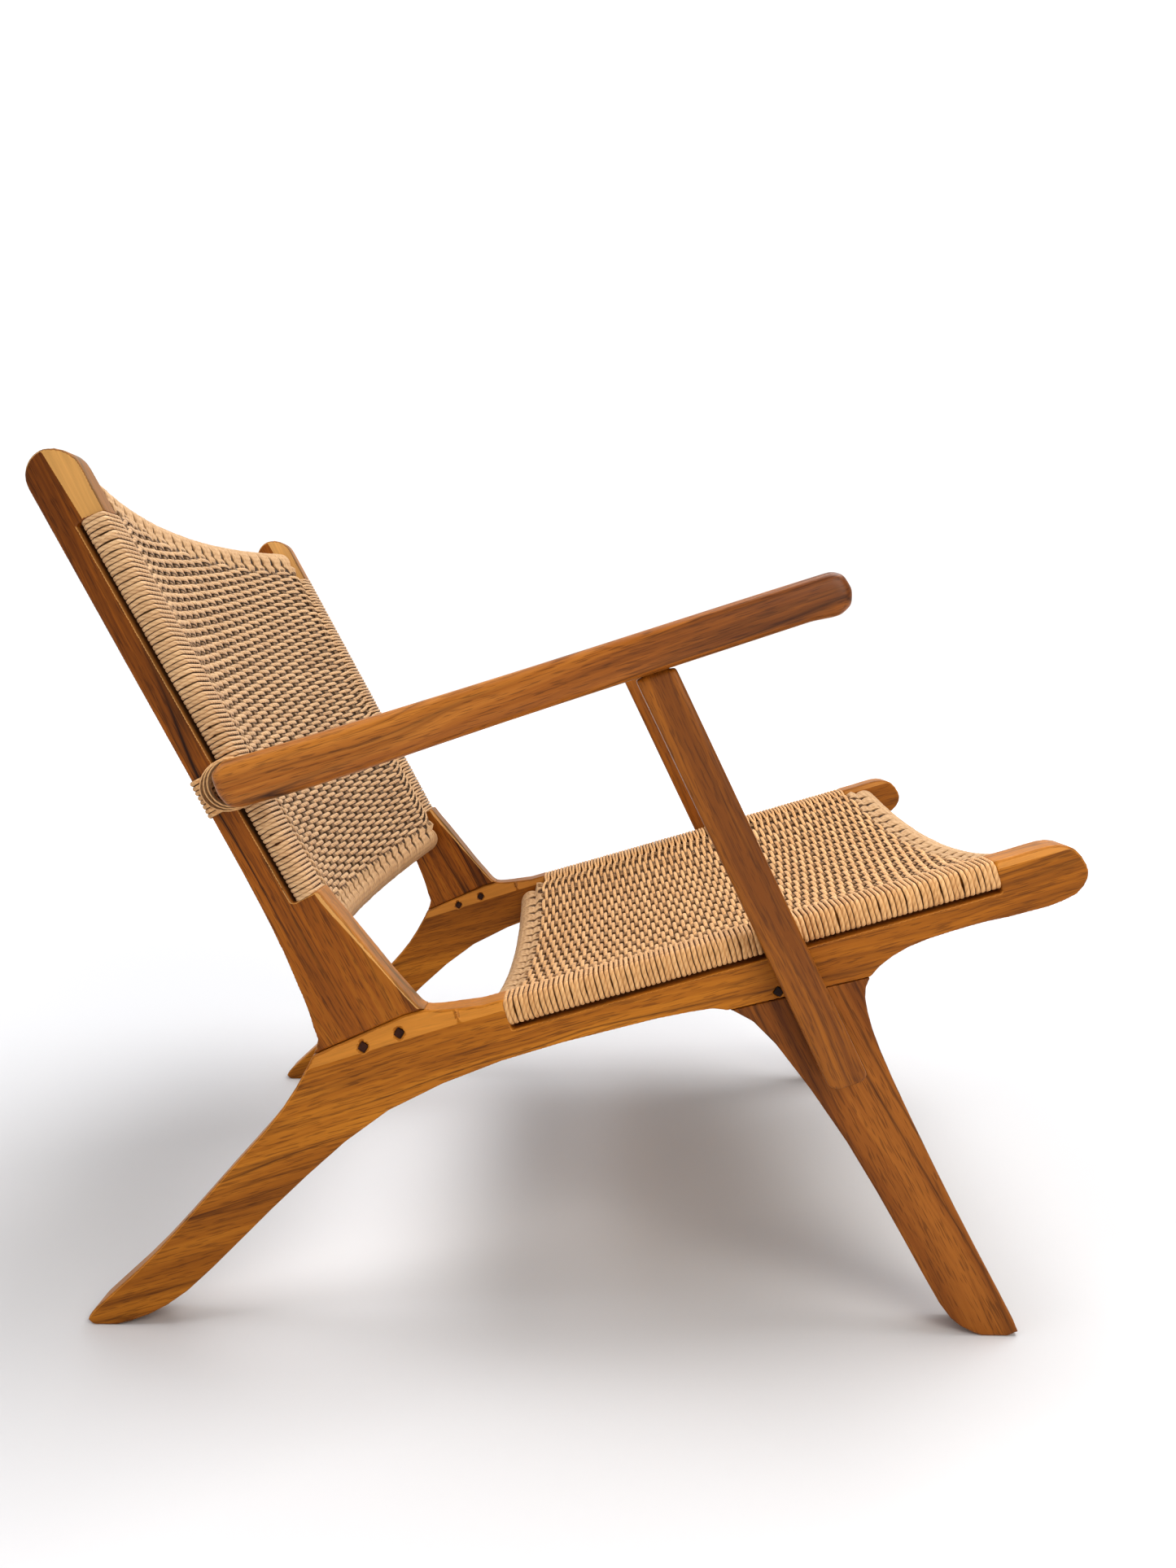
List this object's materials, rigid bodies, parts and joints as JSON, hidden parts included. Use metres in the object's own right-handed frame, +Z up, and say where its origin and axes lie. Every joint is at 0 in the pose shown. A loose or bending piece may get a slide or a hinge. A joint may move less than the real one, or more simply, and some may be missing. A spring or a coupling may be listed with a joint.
{
  "type": "lounge armchair",
  "caption": "Low wooden lounge armchair with flowing teak side frames, bowed cross rails, sloping armrests on slanted struts and a woven cord seat and back",
  "frame": {"origin": "middle of the chair's footprint on the floor, half-way between the two sides and half-way from front to back", "axes": "+X is the sitter's left, -Y is the front of the chair, +Z is up"},
  "size_m": [0.7254, 0.8544, 0.7216],
  "materials": {
    "teak": "satin oiled teak",
    "dark_peg": "dark hardwood pegs, satin",
    "cord": "straw-coloured twisted cord",
    "cord_field": "woven cord panel",
    "screw_steel": "plain steel screws"
  },
  "bodies": {
    "root": {"side_rail_right": "teak", "front_leg_right": "teak", "back_post_right": "teak", "arm_right": "teak", "arm_strut_right": "teak", "arm_spacer_right": "teak", "back_joint_peg_front_right": "dark_peg", "back_joint_peg_rear_right": "dark_peg", "front_joint_peg_front_right": "dark_peg", "front_joint_peg_rear_right": "dark_peg", "strut_screw_upper_right": "screw_steel", "strut_screw_lower_right": "screw_steel", "seat_side_wrap_right": "cord", "back_side_wrap_right": "cord", "lashing_post_wrap_right": "cord", "lashing_collar_right": "cord", "side_rail_left": "teak", "front_leg_left": "teak", "back_post_left": "teak", "arm_left": "teak", "arm_strut_left": "teak", "arm_spacer_left": "teak", "back_joint_peg_front_left": "dark_peg", "back_joint_peg_rear_left": "dark_peg", "front_joint_peg_front_left": "dark_peg", "front_joint_peg_rear_left": "dark_peg", "strut_screw_upper_left": "screw_steel", "strut_screw_lower_left": "screw_steel", "seat_side_wrap_left": "cord", "back_side_wrap_left": "cord", "lashing_post_wrap_left": "cord", "lashing_collar_left": "cord", "seat_front_rail": "teak", "seat_rear_rail": "teak", "back_top_rail": "teak", "back_bottom_rail": "teak", "seat_front_wrap": "cord", "seat_rear_wrap": "cord", "back_top_wrap": "cord", "back_bottom_wrap": "cord", "seat_weave": "cord_field", "back_weave": "cord_field"}
  },
  "joints": []
}
